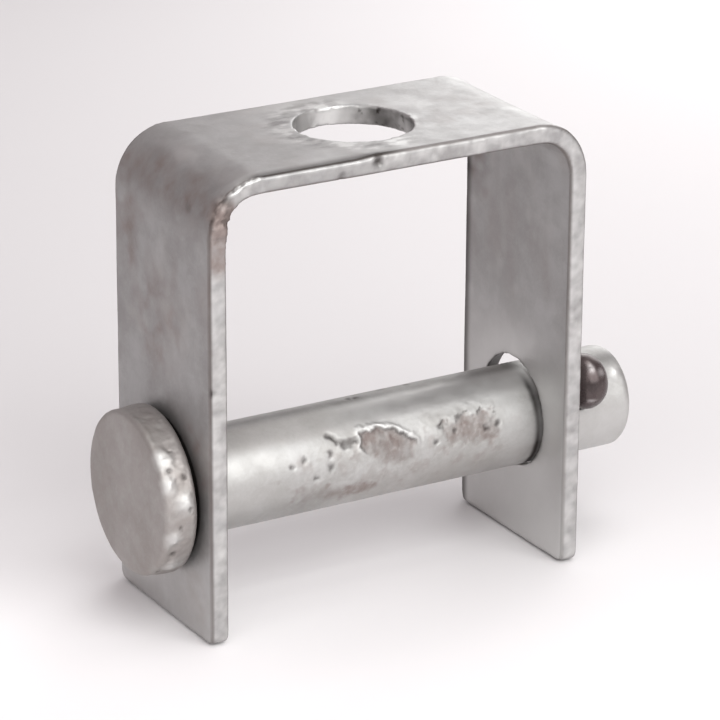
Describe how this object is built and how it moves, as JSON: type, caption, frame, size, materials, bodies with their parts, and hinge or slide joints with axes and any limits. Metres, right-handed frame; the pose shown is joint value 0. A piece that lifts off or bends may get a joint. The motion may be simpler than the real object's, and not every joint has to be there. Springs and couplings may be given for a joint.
{
  "type": "spool insulator clevis",
  "caption": "U-shaped flat-bar clevis with a bolt hole in its top and a headed pin across its legs, kept by a split cotter, that carries a spool insulator.",
  "frame": {"origin": "centre of the bolt hole on the top face", "axes": "+Z out of the top face along the bolt, +X along the clevis pin towards its cotter, Y across the bar"},
  "size_m": [0.0855, 0.0331, 0.0725],
  "materials": {
    "galvanised_strap": "hot-dip galvanised, dull and mottled",
    "galvanised_pin": "hot-dip galvanised, satin with rough patches",
    "cotter_wire": "bare drawn wire, dark and smooth"
  },
  "bodies": {
    "strap": {"clevis_strap": "galvanised_strap"},
    "pin": {"clevis_pin": "galvanised_pin"},
    "cotter": {"cotter_pin": "cotter_wire"}
  },
  "joints": [
    {"name": "pin_turn", "type": "hinge", "parent": "strap", "child": "pin", "pos_m": [0, 0, -0.0522], "axis": [1, 0, 0], "continuous": true},
    {"name": "cotter_slide", "type": "slide", "parent": "pin", "child": "cotter", "axis": [0, -0.766, 0.6428], "range_m": [0, 0.04]}
  ]
}
